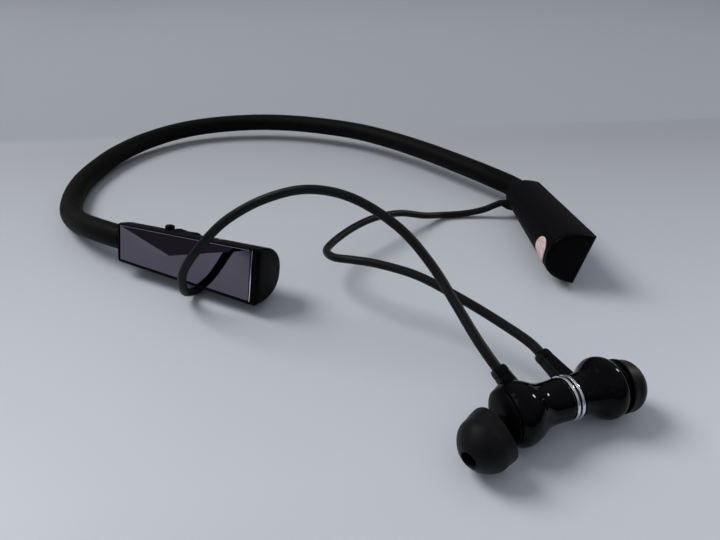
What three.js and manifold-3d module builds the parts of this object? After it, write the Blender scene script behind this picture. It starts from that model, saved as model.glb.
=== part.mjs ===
// Neckband earphones lying on a table: a sprung band with a D-section pod at each end,
// two free cords, and two earbuds held back to back by their magnets.
// Millimetres, +Z up. The origin is under the middle of everything but the cords, at table level.
import * as THREE from 'three';
import { mergeVertices } from 'three/addons/utils/BufferGeometryUtils.js';
import { ConvexGeometry } from 'three/addons/geometries/ConvexGeometry.js';
import Module from 'manifold-3d';

const wasm = await Module();
wasm.setup();

// ---------- driving dimensions ----------
const GAP = 0.3; // running and assembly clearance
const BAND_R = 4; // neckband sleeve, outside radius
const BAND_BORE = 2.7; // bore of the sleeve
const WIRE_R = 0.8; // spring wire in the sleeve
const HARNESS_R = 0.9; // wire bundle in the sleeve
const CORE_OFFSET = 1.3; // wire above and bundle below the band's centreline

const POD_LENGTH = 53.8; // with its end cap
const SHELL_LENGTH = 51.8;
const POD_WIDTH = [12.8, 17.2]; // flat face, neck end and free end
const POD_DEPTH = [10.8, 12.6]; // flat face to crown
const WALL = 1.2;
const PLATE_MARGIN = 0.6; // flat rim left round the face plate
const RECESS = 1.3; // depth of the face plate's seat
const BAND_INSET = 5.2; // band centreline behind the flat face

const CORD_R = 1.25;
const CORD_SIDES = 8;

const RING_R = 5.2; // chrome ring on each earbud
const WAIST_R = 4.95;
const BULB_R = 7.3;
const BULB_X = { left: 13.5, right: 9.6 }; // bulb's widest place, from the magnet face
const BULB_SHIFT = 0.2; // how far the bulb's centre sits towards the front
const TIP_R = 6.4;
const TIP_DOME = { left: 1.08, right: 0.85 }; // length of each dome: the right one is pushed further on
const LATHE_SIDES = 20;

// ---------- materials ----------
const paint = {
  silicone: [0x191a1a, 0.7, 0],
  shell: [0x15141a, 0.6, 0],
  cap: [0x08080a, 0.45, 0],
  plate: [0x3a3848, 0.12, 0.55],
  chrome: [0xd8d8dc, 0.12, 1],
  gloss: [0x060607, 0.08, 0],
  rubber: [0x1d1e20, 0.75, 0],
  cord: [0x161518, 0.6, 0],
  steel: [0xb0b2b6, 0.35, 1],
  board: [0x12512f, 0.55, 0],
  foil: [0xc9cbd0, 0.4, 0.8],
  paper: [0xe9d5d2, 0.6, 0],
  mesh: [0x55575b, 0.5, 0.9],
};

function piece(name, finish, geometry) {
  const [color, roughness, metalness] = paint[finish];
  const material = new THREE.MeshStandardMaterial({ color, roughness, metalness });
  const mesh = new THREE.Mesh(geometry, material);
  mesh.name = name;
  return mesh;
}

// ---------- joining and cutting ----------
function solid(geometry) {
  const plain = geometry.clone();
  plain.deleteAttribute('normal');
  plain.deleteAttribute('uv');
  const merged = mergeVertices(plain, 1e-4);
  return new wasm.Manifold(new wasm.Mesh({
    numProp: 3,
    vertProperties: new Float32Array(merged.attributes.position.array),
    triVerts: new Uint32Array(merged.index.array),
  }));
}

function fromSolid(manifold) {
  const mesh = manifold.getMesh();
  const geometry = new THREE.BufferGeometry();
  geometry.setAttribute('position', new THREE.BufferAttribute(mesh.vertProperties, 3));
  geometry.setIndex(new THREE.BufferAttribute(mesh.triVerts, 1));
  return geometry;
}

function cut(base, ...tools) {
  let result = solid(base);
  for (const tool of tools) {
    result = result.subtract(solid(tool));
  }
  return fromSolid(result);
}

function join(base, ...others) {
  let result = solid(base);
  for (const other of others) {
    result = result.add(solid(other));
  }
  return fromSolid(result);
}

// ---------- shared shapes ----------
function box(x0, x1, y0, y1, z0, z1) {
  const geometry = new THREE.BoxGeometry(x1 - x0, y1 - y0, z1 - z0);
  return geometry.translate((x0 + x1) / 2, (y0 + y1) / 2, (z0 + z1) / 2);
}

// A profile of [x, r] points turned round the X axis.
function turned(profile, sides = LATHE_SIDES) {
  const points = profile.map(([x, r]) => new THREE.Vector2(r, x));
  return new THREE.LatheGeometry(points, sides).rotateZ(-Math.PI / 2);
}

function rod(x0, x1, radius, sides = LATHE_SIDES) {
  return turned([[x0, 0], [x0, radius], [x1, radius], [x1, 0]], sides);
}

function ring(x0, x1, inner, outer, sides = LATHE_SIDES) {
  return turned([[x0, inner], [x0, outer], [x1, outer], [x1, inner], [x0, inner]], sides);
}

// A round section swept along a smooth line, with a bore if one is given.
function tube(points, radius, sides, steps, bore = 0) {
  const section = new THREE.Shape();
  section.setFromPoints(circle(radius, sides));
  if (bore > 0) {
    section.holes.push(new THREE.Path().setFromPoints(circle(bore, sides)));
  }
  const path = new THREE.CatmullRomCurve3(points, false, 'centripetal');
  return new THREE.ExtrudeGeometry(section, { steps, extrudePath: path, curveSegments: 1 });
}

function circle(radius, sides) {
  const points = [];
  for (let i = 0; i < sides; i += 1) {
    const turn = ((i + 0.5) / sides) * 2 * Math.PI;
    points.push(new THREE.Vector2(radius * Math.cos(turn), radius * Math.sin(turn)));
  }
  return points;
}

// ---------- pod sections ----------
const along = (pair, x) => pair[0] + (pair[1] - pair[0]) * (x / POD_LENGTH);
const podWidth = (x) => along(POD_WIDTH, x);
const podDepth = (x) => along(POD_DEPTH, x);

// A full D of unit width and depth: a flat side at y = 0 and a superellipse crown.
function unitD(segments = 18) {
  const squareness = 0.82;
  const shape = new THREE.Shape();
  const points = [];
  for (let i = 0; i <= segments; i += 1) {
    const turn = -Math.PI / 2 + (Math.PI * i) / segments;
    const out = Math.abs(Math.cos(turn)) ** squareness;
    const up = Math.sign(Math.sin(turn)) * Math.abs(Math.sin(turn)) ** squareness;
    points.push(new THREE.Vector2(i === 0 || i === segments ? 0 : out, up / 2));
  }
  return shape.setFromPoints(points);
}

// The D lofted through stations of [x, inset from the outside], its flat side at y = front.
function podLoft(stations, front = 0) {
  const last = stations.length - 1;
  const geometry = new THREE.ExtrudeGeometry(unitD(), { depth: last, steps: last, bevelEnabled: false });
  const position = geometry.attributes.position;
  for (let i = 0; i < position.count; i += 1) {
    const [x, inset] = stations[Math.round(position.getZ(i))];
    const y = front + position.getX(i) * (podDepth(x) - front - inset);
    const z = position.getY(i) * (podWidth(x) - 2 * inset);
    position.setXYZ(i, x, y, z);
  }
  return geometry;
}

// A flat wedge that follows the pod's taper, set in by a margin, between two depths.
function faceSlab(x0, x1, margin, y0, y1) {
  const corners = [];
  for (const x of [x0, x1]) {
    const half = podWidth(x) / 2 - margin;
    for (const y of [y0, y1]) {
      corners.push(new THREE.Vector3(x, y, half), new THREE.Vector3(x, y, -half));
    }
  }
  return new ConvexGeometry(corners);
}

// ---------- pod placing ----------
// x runs from the neck end to the free end, y from the flat face inwards, z across the face.
function podFrame(start, headingDeg, leanDeg, riseDeg, flip) {
  const heading = THREE.MathUtils.degToRad(headingDeg);
  const lean = THREE.MathUtils.degToRad(leanDeg);
  const rise = THREE.MathUtils.degToRad(riseDeg);
  const side = flip ? -1 : 1;
  const level = new THREE.Vector3(-Math.sin(heading), Math.cos(heading), 0).multiplyScalar(side);
  const forward = new THREE.Vector3(Math.cos(heading), Math.sin(heading), 0);
  forward.multiplyScalar(Math.cos(rise)).setZ(Math.sin(rise));
  const up = new THREE.Vector3().crossVectors(forward, level).multiplyScalar(side);
  const inward = level.clone().multiplyScalar(Math.cos(lean)).addScaledVector(up, -Math.sin(lean));
  const across = new THREE.Vector3().crossVectors(forward, inward);
  const frame = new THREE.Group();
  frame.matrix.makeBasis(forward, inward, across).setPosition(start);
  frame.matrix.decompose(frame.position, frame.quaternion, frame.scale);
  frame.updateMatrixWorld(true);
  return frame;
}

// z points up in the left pod and down in the right one, which is its mirror image.
const leftPod = podFrame(new THREE.Vector3(-62.9, -11.3, 10.95), -40, 18, 0.9, false);
const rightPod = podFrame(new THREE.Vector3(89.2, -6, 6.15), -103, -14.7, 3.2, true);
const leftAt = (x, y, z) => leftPod.localToWorld(new THREE.Vector3(x, y, z));
const rightAt = (x, y, z) => rightPod.localToWorld(new THREE.Vector3(x, y, z));

// ---------- neckband ----------
// The centreline between the pods, from left to right, as it lies: low at the left, raised at the right.
const BAND_ROUTE = [
  [-73, 5.6, 8.6],
  [-79.7, 16.6, 6.3],
  [-84, 27.5, 4.8],
  [-86, 39, 4.05],
  [-86.1, 50, 4.05],
  [-84.5, 62, 4.05],
  [-80.6, 74, 4.3],
  [-74, 87, 4.9],
  [-63, 100, 5.6],
  [-47, 110, 6.4],
  [-30, 113.2, 7.1],
  [-9, 110.6, 7.8],
  [8, 104.5, 8.1],
  [25, 94, 8.3],
  [41, 80, 8.5],
  [53, 63.5, 8.7],
  [63.5, 45, 8.8],
  [72, 27, 8.8],
  [78.6, 12, 8.7],
].map(([x, y, z]) => new THREE.Vector3(x, y, z));

function bandLine(endX, lift) {
  const raised = BAND_ROUTE.map((p) => p.clone().setZ(p.z + lift));
  return [
    leftAt(endX, BAND_INSET, lift),
    leftAt(-5, BAND_INSET, lift),
    ...raised,
    rightAt(-5, BAND_INSET, -lift),
    rightAt(endX, BAND_INSET, -lift),
  ];
}

function neckband() {
  const WIRE_END = 5.5; // how far the core reaches into the pods
  const group = new THREE.Group();
  const sleeve = tube(bandLine(-GAP, 0), BAND_R, 12, 56, BAND_BORE);
  group.add(piece('neckband_sleeve', 'silicone', sleeve));
  const wire = tube(bandLine(WIRE_END, CORE_OFFSET), WIRE_R, 6, 52);
  group.add(piece('spring_wire', 'steel', wire));
  const harness = tube(bandLine(WIRE_END, -CORE_OFFSET), HARNESS_R, 6, 52);
  group.add(piece('neckband_harness', 'rubber', harness));
  return group;
}

// ---------- pods ----------
const GLAND = { x: 4.6, z: 4, r: 1.95, length: 2.4 }; // below the middle plane of either pod
const BUTTON = { x0: 16, x1: 18.6, y: 4.6, width: 2.6, proud: 1.2 };
const ROCKER = { x0: 19.6, x1: 28.6, y: 4.6, width: 2.4, proud: 0.35 };
const KEY_STEM = 2.2; // how far a key reaches in below the surface
const PORT = { x: 42, width: 9, height: 3.2, depth: 7 };

const edgeZ = (x) => podWidth(x) / 2; // height of the pod's edge above its middle plane

// A rod pointing inwards, out of the crown side, for the cord's outlet.
function outlet(radius, reach, length, down) {
  const geometry = rod(0, length, radius, 12).rotateZ(Math.PI / 2);
  return geometry.translate(GLAND.x, reach, down * GLAND.z);
}

function podShell(down, extraCuts) {
  const outside = podLoft([[0, 0.9], [0.4, 0.35], [1.2, 0], [SHELL_LENGTH, 0]]);
  const cavity = podLoft([[1.6, WALL + 1], [3.2, WALL], [SHELL_LENGTH + 1, WALL]], RECESS + WALL);
  const seat = faceSlab(0.5, SHELL_LENGTH + 1, PLATE_MARGIN, -1, RECESS);
  const neckHole = rod(-1, 4, BAND_BORE, 12).translate(0, BAND_INSET, 0);
  const cordHole = outlet(GLAND.r + GAP, 5, 9, down);
  return cut(outside, cavity, seat, neckHole, cordHole, ...extraCuts);
}

// The face plate: a shallow four-sided pyramid with its peak towards the neck end.
function facePlate() {
  const x0 = 0.8;
  const x1 = SHELL_LENGTH - 1.2;
  const margin = PLATE_MARGIN + GAP;
  const edgeY = 0.35;
  const back = RECESS - GAP;
  const points = [new THREE.Vector3(21.5, -0.15, 0)];
  for (const x of [x0, x1]) {
    const half = podWidth(x) / 2 - margin;
    for (const y of [edgeY, back]) {
      points.push(new THREE.Vector3(x, y, half), new THREE.Vector3(x, y, -half));
    }
  }
  return new ConvexGeometry(points);
}

function endCap() {
  const stations = [
    [SHELL_LENGTH + GAP, 0],
    [POD_LENGTH - 0.9, 0],
    [POD_LENGTH - 0.25, 0.25],
    [POD_LENGTH, 0.9],
  ];
  return podLoft(stations);
}

// A tapered sleeve with a bore for the cord, from inside the wall to clear of it.
function gland(depthHere, down) {
  const inner = depthHere - 2.6;
  const outer = depthHere + GLAND.length;
  const bore = CORD_R - GAP;
  const profile = [
    [inner, bore],
    [inner, GLAND.r],
    [depthHere + 0.6, GLAND.r],
    [outer, CORD_R + 0.1],
    [outer, bore],
    [inner, bore],
  ];
  return turned(profile, 12).rotateZ(Math.PI / 2).translate(GLAND.x, 0, down * GLAND.z);
}

// What both pods have: shell, plate, trim, end cap, collar, cord gland and the spring wire's clamp.
function commonPod(side, frame, extraCuts) {
  const down = frame === leftPod ? -1 : 1;
  frame.add(piece(`${side}_pod_shell`, 'shell', podShell(down, extraCuts)));
  frame.add(piece(`${side}_face_plate`, 'plate', facePlate()));
  const trim = faceSlab(SHELL_LENGTH - 0.9, SHELL_LENGTH - 0.3, PLATE_MARGIN + GAP, 0.1, RECESS - GAP);
  frame.add(piece(`${side}_plate_trim`, 'chrome', trim));
  frame.add(piece(`${side}_end_cap`, 'cap', endCap()));
  const collar = ring(-1.8, -GAP, BAND_R + GAP, BAND_R + 0.8, 14);
  frame.add(piece(`${side}_neck_collar`, 'cap', collar.translate(0, BAND_INSET, 0)));
  const crownY = crownAt(GLAND.x, GLAND.z);
  frame.add(piece(`${side}_cord_gland`, 'rubber', gland(crownY, down)));
  const clampY = BAND_INSET;
  const clampZ = -down * CORE_OFFSET;
  const block = box(3.2, 6.4, clampY - 1.9, clampY + 1.9, clampZ - 1.5, clampZ + 1.5);
  const clamp = cut(block, rod(0, 9, WIRE_R + 2 * GAP, 10).translate(0, clampY, clampZ));
  frame.add(piece(`${side}_wire_clamp`, 'steel', clamp));
}

// Depth of the crown at a given height across the pod.
function crownAt(x, z) {
  const power = 2 / 0.82;
  const share = Math.abs(z) / (podWidth(x) / 2);
  return podDepth(x) * (1 - share ** power) ** (1 / power);
}

// A key standing out of the pod's upper edge, with a flange inside that keeps it in.
function key(spec, round) {
  const top = edgeZ((spec.x0 + spec.x1) / 2) + spec.proud;
  const foot = edgeZ(spec.x0) - KEY_STEM;
  const half = spec.width / 2;
  const stem = box(spec.x0, spec.x1, spec.y - half, spec.y + half, foot, top - round);
  const crown = box(spec.x0 + round, spec.x1 - round, spec.y - half + 0.3, spec.y + half - 0.3, foot, top);
  return join(stem, crown);
}

function keyWindow(spec) {
  const half = spec.width / 2 + GAP;
  return box(spec.x0 - GAP, spec.x1 + GAP, spec.y - half, spec.y + half, 2, 12);
}

function buildLeftPod() {
  const portY = podDepth(PORT.x);
  const mouth = box(
    PORT.x - PORT.width / 2 - GAP, PORT.x + PORT.width / 2 + GAP,
    portY - PORT.depth, portY + 3, -PORT.height / 2 - GAP, PORT.height / 2 + GAP,
  );
  const ledHole = rod(0, 8, 0.9, 8).rotateY(-Math.PI / 2).translate(37, BUTTON.y, 2);
  const micHole = rod(0, 8, 0.6, 8).rotateY(-Math.PI / 2).translate(41, BUTTON.y, 2);
  commonPod('left', leftPod, [keyWindow(BUTTON), keyWindow(ROCKER), mouth, ledHole, micHole]);

  leftPod.add(piece('multifunction_button', 'cap', key(BUTTON, 0.5)));
  leftPod.add(piece('volume_rocker', 'cap', key(ROCKER, 0.3)));

  const boardTop = edgeZ(BUTTON.x0) - KEY_STEM - 2.1;
  const board = box(8.5, 48, 3.2, 8.4, boardTop - 0.8, boardTop);
  leftPod.add(piece('main_board', 'board', board));
  const switchAt = (x) => join(
    box(x - 1.4, x + 1.4, BUTTON.y - 1.2, BUTTON.y + 1.2, boardTop + 0.2, boardTop + 0.9),
    rod(boardTop + 0.8, boardTop + 1.4, 0.6, 8).rotateY(-Math.PI / 2).translate(x, BUTTON.y, 0),
  );
  const switchXs = [BUTTON.x0 + 1.3, ROCKER.x0 + 2, ROCKER.x1 - 2];
  const strip = box(
    switchXs[0] - 2, switchXs[2] + 2, BUTTON.y - 1.4, BUTTON.y + 1.4, boardTop + 0.15, boardTop + 0.35,
  );
  leftPod.add(piece('key_switch_strip', 'foil', join(strip, ...switchXs.map(switchAt))));
  const chip = box(10, 17, 3.8, 8, boardTop - 2.1, boardTop - 1.1);
  leftPod.add(piece('bluetooth_module', 'foil', chip));

  const outer = box(
    PORT.x - PORT.width / 2, PORT.x + PORT.width / 2,
    portY - PORT.depth + GAP, portY + 0.05, -PORT.height / 2, PORT.height / 2,
  );
  const inner = box(
    PORT.x - PORT.width / 2 + 0.4, PORT.x + PORT.width / 2 - 0.4,
    portY - PORT.depth + 1, portY + 1, -PORT.height / 2 + 0.4, PORT.height / 2 - 0.4,
  );
  leftPod.add(piece('charging_port', 'steel', cut(outer, inner)));
  const tongue = box(PORT.x - 3, PORT.x + 3, portY - PORT.depth + 1.4, portY - 1, -0.35, 0.35);
  leftPod.add(piece('charging_port_tongue', 'cap', tongue));
  const pipe = rod(boardTop + 0.4, edgeZ(37) + 0.05, 0.6, 8).rotateY(-Math.PI / 2);
  leftPod.add(piece('status_light_pipe', 'mesh', pipe.translate(37, BUTTON.y, 0)));
}

function buildRightPod() {
  commonPod('right', rightPod, []);
  const cell = box(10, 44, 3.3, 7.4, -4.2, 4.2);
  rightPod.add(piece('battery_cell', 'foil', cell));
  const motor = rod(45.2, 48.6, 3, 14).translate(0, 6.6, 0);
  rightPod.add(piece('vibration_motor', 'steel', motor));
  rightPod.add(piece('blank_label', 'paper', label()));
}

// A round paper label that follows the crown.
function label() {
  const LABEL = { x: 47, z: 1, r: 4.2, under: 0.2, thick: 0.25 };
  const ends = [LABEL.x - 6, LABEL.x + 6];
  const outer = podLoft(ends.map((x) => [x, -LABEL.under - LABEL.thick]));
  const inner = podLoft([ends[0] - 1, ends[1] + 1].map((x) => [x, -LABEL.under]));
  const disc = rod(6, 16, LABEL.r, 24).rotateZ(Math.PI / 2).translate(LABEL.x, 0, LABEL.z);
  return fromSolid(solid(disc).intersect(solid(outer)).subtract(solid(inner)));
}

// ---------- earbuds ----------
// x runs out from the magnet face to the tip, y back from the front, along the stem.
const EARBUD_JOINT = new THREE.Vector3(40.5, -105.5, 7.4);
const EARBUD_HEADING = 5; // degrees from +X
const leftBud = budFrame(false);
const rightBud = budFrame(true);

function budFrame(isRight) {
  const heading = THREE.MathUtils.degToRad(EARBUD_HEADING);
  const outward = new THREE.Vector3(Math.cos(heading), Math.sin(heading), 0);
  const back = new THREE.Vector3(-outward.y, outward.x, 0);
  if (!isRight) {
    outward.negate();
  }
  const frame = new THREE.Group();
  const up = new THREE.Vector3().crossVectors(outward, back);
  frame.matrix.makeBasis(outward, back, up).setPosition(EARBUD_JOINT);
  frame.matrix.decompose(frame.position, frame.quaternion, frame.scale);
  frame.updateMatrixWorld(true);
  return frame;
}

// Outside of the housing, from behind the ring, over the waist to the bulb's rim.
function housingProfile(bulbX) {
  const swell = BULB_R - WAIST_R;
  return [
    [1.5, WAIST_R],
    [bulbX * 0.3, WAIST_R - 0.1],
    [bulbX * 0.5, WAIST_R + 0.12],
    [bulbX * 0.64, WAIST_R + swell * 0.35],
    [bulbX * 0.76, WAIST_R + swell * 0.7],
    [bulbX * 0.88, WAIST_R + swell * 0.94],
    [bulbX, BULB_R],
    [bulbX + 1.2, BULB_R - 0.25],
    [bulbX + 2.2, BULB_R - 0.9],
  ];
}

// The bulb's centre moves towards the front as the housing swells.
function shifted(geometry, bulbX) {
  const position = geometry.attributes.position;
  for (let i = 0; i < position.count; i += 1) {
    const share = THREE.MathUtils.clamp((position.getX(i) - 2) / (bulbX - 2), 0, 1);
    position.setY(i, position.getY(i) - BULB_SHIFT * share ** 1.5);
  }
  return geometry;
}

function housing(bulbX) {
  const wall = 0.9;
  const outside = housingProfile(bulbX);
  const inside = [...outside].reverse().map(([x, r]) => [x, r - wall]);
  return shifted(turned([...outside, ...inside, outside[0]]), bulbX);
}

function housingBlank(bulbX, grow) {
  const outside = housingProfile(bulbX);
  const overRing = [[-2, 0], [-2, RING_R + grow], [1.4, RING_R + grow]];
  const end = [outside[outside.length - 1][0], 0];
  return shifted(turned([...overRing, ...outside.map(([x, r]) => [x, r + grow]), end]), bulbX);
}

// A chamfered, tapering block that carries the cord away from the housing.
function stem(spec, bulbX) {
  const rootY = 3.2;
  const root = [2.1, 1.95];
  const neck = [1.65, 1.6];
  const end = [1.45, 1.4];
  const chamfer = 0.55;
  const points = [];
  for (const [y, [halfX, halfZ]] of [[rootY, root], [spec.length - 0.6, neck], [spec.length, end]]) {
    for (const sx of [-1, 1]) {
      for (const sz of [-1, 1]) {
        points.push(new THREE.Vector3(sx * halfX, y, sz * (halfZ - chamfer)));
        points.push(new THREE.Vector3(sx * (halfX - chamfer), y, sz * halfZ));
      }
    }
  }
  const block = new ConvexGeometry(points);
  block.rotateZ(THREE.MathUtils.degToRad(spec.lean));
  block.rotateX(THREE.MathUtils.degToRad(spec.lift));
  block.translate(spec.x, 0, 0);
  return cut(block, housingBlank(bulbX, GAP));
}

// Moves a shape made along +X from the bulb's centre to the tilted line of the nozzle.
function tilted(geometry, nozzle, bulbX) {
  geometry.translate(nozzle.reach, 0, 0);
  geometry.rotateY(THREE.MathUtils.degToRad(nozzle.down));
  geometry.rotateZ(THREE.MathUtils.degToRad(-nozzle.forward));
  return geometry.translate(bulbX, -BULB_SHIFT, 0);
}

// Dome, flared skirt and inner sleeve in one closed profile along the nozzle's line.
function earTip(stretch) {
  const base = 8.8; // skirt's open edge, from the bulb's centre
  const body = TIP_R - 0.25;
  const outside = [
    [0, TIP_R],
    [0.5, TIP_R - 0.05],
    [1.6, body],
    [3.2, body - 0.15],
    [4.7, body - 0.95],
    [6.1, body - 2.3],
    [6.9, body - 3.6],
    [7.2, body - 4.25],
  ];
  const bore = [
    [5.9, 1.75],
    [5.9, 2.75],
    [1.4, 2.75],
  ];
  const inside = [
    [1.4, 3.5],
    [5, 3.5],
    [3.6, 4.7],
    [2.2, 5.3],
    [1.2, TIP_R - 0.85],
    [0, TIP_R - 0.6],
    [0, TIP_R],
  ];
  const profile = [...outside, ...bore, ...inside];
  return turned(profile.map(([x, r]) => [base + x * stretch, r]));
}

function stemHole(spec) {
  return rod(0, 10, 1, 8).rotateZ(Math.PI / 2).translate(spec.x, 0, 0);
}

function buildEarbud(side, frame, stemSpec, nozzleSpec) {
  const bulbX = BULB_X[side];
  const collarRing = ring(0.25, 1.05, RING_R - 0.7, RING_R, 24);
  frame.add(piece(`${side}_chrome_ring`, 'chrome', collarRing));
  frame.add(piece(`${side}_magnet`, 'steel', rod(0.2, 3, WAIST_R - 1.3, 16)));
  frame.add(piece(`${side}_earbud_housing`, 'gloss', cut(housing(bulbX), stemHole(stemSpec))));
  const driver = rod(bulbX - 2.4, bulbX + 0.2, 5, 16).translate(0, -BULB_SHIFT * 0.8, 0);
  frame.add(piece(`${side}_driver`, 'foil', driver));

  const rim = bulbX + 2.5;
  const cover = turned([[rim, 0], [rim, BULB_R - 1], [rim + 0.8, BULB_R - 1.8], [rim + 1.6, 3.9], [rim + 1.7, 0]]);
  cover.translate(0, -BULB_SHIFT, 0);
  const nozzleBlank = tilted(rod(-4, 14, 2.2 + GAP, 12), nozzleSpec, bulbX);
  frame.add(piece(`${side}_front_cover`, 'shell', cut(cover, nozzleBlank)));
  const root = 3.4 - nozzleSpec.reach;
  const tipEnd = 8.3 + 5.9 * TIP_DOME[side]; // half a millimetre inside the ear tip's own stop
  const nozzle = turned([
    [root, 1.6],
    [root, 2.2],
    [tipEnd - 1.2, 2.2],
    [tipEnd - 0.9, 2.4],
    [tipEnd - 0.3, 2.4],
    [tipEnd, 2.1],
    [tipEnd, 1.6],
    [root, 1.6],
  ], 14);
  frame.add(piece(`${side}_nozzle`, 'shell', tilted(nozzle, nozzleSpec, bulbX)));
  const grille = rod(tipEnd - 0.8, tipEnd - 0.4, 1.3, 14);
  frame.add(piece(`${side}_nozzle_mesh`, 'mesh', tilted(grille, nozzleSpec, bulbX)));
  frame.add(piece(`${side}_ear_tip`, 'rubber', tilted(earTip(TIP_DOME[side]), nozzleSpec, bulbX)));
  frame.add(piece(`${side}_strain_relief`, 'gloss', stem(stemSpec, bulbX)));
}

const LEFT_STEM = { x: 10.2, length: 11, lean: -15, lift: -29 };
const RIGHT_STEM = { x: 3.6, length: 12.7, lean: 12, lift: 14 };
// Angles towards the front and down, and how far the tip stands out from where the left one does.
const LEFT_NOZZLE = { forward: 23.5, down: -3, reach: 0 };
const RIGHT_NOZZLE = { forward: 6, down: 8, reach: -4.9 };

// ---------- cords ----------
// Where the cord meets a gland, and the direction that it leaves in.
function glandMouth(at, reach) {
  const down = at === leftAt ? -1 : 1;
  return at(GLAND.x, crownAt(GLAND.x, GLAND.z) + reach, down * GLAND.z);
}

function stemEnd(frame, spec, beyond) {
  const point = new THREE.Vector3(0, spec.length + beyond, 0);
  point.applyAxisAngle(new THREE.Vector3(0, 0, 1), THREE.MathUtils.degToRad(spec.lean));
  point.applyAxisAngle(new THREE.Vector3(1, 0, 0), THREE.MathUtils.degToRad(spec.lift));
  return frame.localToWorld(point.add(new THREE.Vector3(spec.x, 0, 0)));
}

const MOUTH = GLAND.length + GAP;

const points3 = (list) => list.map(([x, y, z]) => new THREE.Vector3(x, y, z));

// Behind the left pod, under it, up over its face in a high arch and down to the left earbud.
const LEFT_CORD_ROUTE = points3([
  [-46.6, 0.6, 1.9],
  [-42.4, 1.2, 1.35],
  [-38.6, -1.6, 1.3],
  [-36.2, -7, 1.3],
  [-35.1, -13.5, 1.3],
  [-35.2, -20.5, 1.3],
  [-36.6, -26, 1.3],
  [-39.6, -30.8, 1.35],
  [-42.6, -34.4, 3.2],
  [-43.1, -37.6, 7],
  [-42.7, -39.6, 11.4],
  [-41, -40.9, 15.8],
  [-35.6, -42.8, 23.2],
  [-28.3, -43.8, 30.2],
  [-17.9, -45.6, 36],
  [-6.8, -48.7, 39],
  [3.6, -53.9, 37.9],
  [14.1, -62.9, 32.2],
  [20, -71.5, 25.7],
  [23, -81.6, 20.2],
  [25.2, -90.4, 16.4],
]);

// Along the table from the right pod, up and round a turn, then down to the right earbud.
const RIGHT_CORD_ROUTE = points3([
  [69.8, -4.9, 3.2],
  [64.6, -4.5, 2.1],
  [59.7, -4, 1.4],
  [52.2, -3.7, 1.6],
  [44.4, -6.1, 3.6],
  [34.2, -8.7, 7.2],
  [26.6, -11.9, 8.9],
  [19.6, -15.6, 9.8],
  [11.7, -20.6, 9.8],
  [4.6, -26.9, 9.6],
  [0.9, -33.4, 10.6],
  [1.5, -40.9, 12.5],
  [6.1, -47.7, 14.8],
  [11.2, -52.3, 15.6],
  [20.3, -61, 15.6],
  [28.2, -71.7, 14.2],
  [35.4, -82.6, 12.3],
]);

function buildCords() {
  const group = new THREE.Group();
  const left = [
    glandMouth(leftAt, MOUTH), glandMouth(leftAt, MOUTH + 2), ...LEFT_CORD_ROUTE,
    stemEnd(leftBud, LEFT_STEM, 3), stemEnd(leftBud, LEFT_STEM, GAP),
  ];
  const right = [
    glandMouth(rightAt, MOUTH), glandMouth(rightAt, MOUTH + 2), ...RIGHT_CORD_ROUTE,
    stemEnd(rightBud, RIGHT_STEM, 3), stemEnd(rightBud, RIGHT_STEM, GAP),
  ];
  group.add(piece('left_cord', 'cord', tube(left, CORD_R, CORD_SIDES, 62)));
  group.add(piece('right_cord', 'cord', tube(right, CORD_R, CORD_SIDES, 62)));
  return group;
}

// ---------- assembly ----------
buildLeftPod();
buildRightPod();
buildEarbud('left', leftBud, LEFT_STEM, LEFT_NOZZLE);
buildEarbud('right', rightBud, RIGHT_STEM, RIGHT_NOZZLE);

const CENTRING = new THREE.Vector3(-0.245, 0.485, 0.02); // brings the origin under the middle
const earphones = new THREE.Group();
earphones.add(neckband(), leftPod, rightPod, leftBud, rightBud, buildCords());
earphones.position.copy(CENTRING);

export default earphones;
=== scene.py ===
import math

import bmesh
import bpy
from mathutils import Matrix, Vector


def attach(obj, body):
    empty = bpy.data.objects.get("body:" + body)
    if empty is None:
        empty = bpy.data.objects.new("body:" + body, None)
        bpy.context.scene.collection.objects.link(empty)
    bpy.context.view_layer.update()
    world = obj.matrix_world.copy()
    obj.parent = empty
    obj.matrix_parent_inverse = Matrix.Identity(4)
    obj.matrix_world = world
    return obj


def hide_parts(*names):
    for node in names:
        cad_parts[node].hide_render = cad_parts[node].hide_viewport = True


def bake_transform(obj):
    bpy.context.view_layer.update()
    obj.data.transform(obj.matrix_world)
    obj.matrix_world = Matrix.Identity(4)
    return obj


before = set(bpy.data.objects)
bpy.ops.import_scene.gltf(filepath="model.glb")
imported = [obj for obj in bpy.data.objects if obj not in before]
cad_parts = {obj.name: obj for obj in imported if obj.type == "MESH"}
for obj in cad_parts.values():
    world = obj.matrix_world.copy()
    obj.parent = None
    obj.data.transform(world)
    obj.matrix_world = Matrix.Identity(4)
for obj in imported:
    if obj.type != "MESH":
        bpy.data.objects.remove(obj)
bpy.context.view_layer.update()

# Shapes are drawn in millimetres in the frame of the part that they belong to, and placed in metres.
MM = 0.001
CENTRING = Vector((-0.245, 0.485, 0.02))  # the whole model's offset, mm
GAP = 0.3  # clearance between neighbouring parts

BAND_R = 4.0
BAND_BORE = 2.7
WIRE_R = 0.8
HARNESS_R = 0.9
CORE_OFFSET = 1.3  # the spring wire runs this far above the band's line, the harness as far below
BAND_INSET = 5.2  # the band's line, in from the pods' flat face

POD_LENGTH = 53.8
SHELL_LENGTH = 51.8
POD_WIDTH = (12.8, 17.2)
POD_DEPTH = (10.8, 12.6)
SQUARENESS = 0.82  # exponent of the crown's superellipse
WALL = 1.2
RECESS = 1.3  # depth of the mirror plate's seat
PLATE_MARGIN = 0.6

CORD_R = 1.25
GLAND_X, GLAND_Z, GLAND_R, GLAND_LENGTH = 4.6, 4.0, 1.95, 2.4

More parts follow.
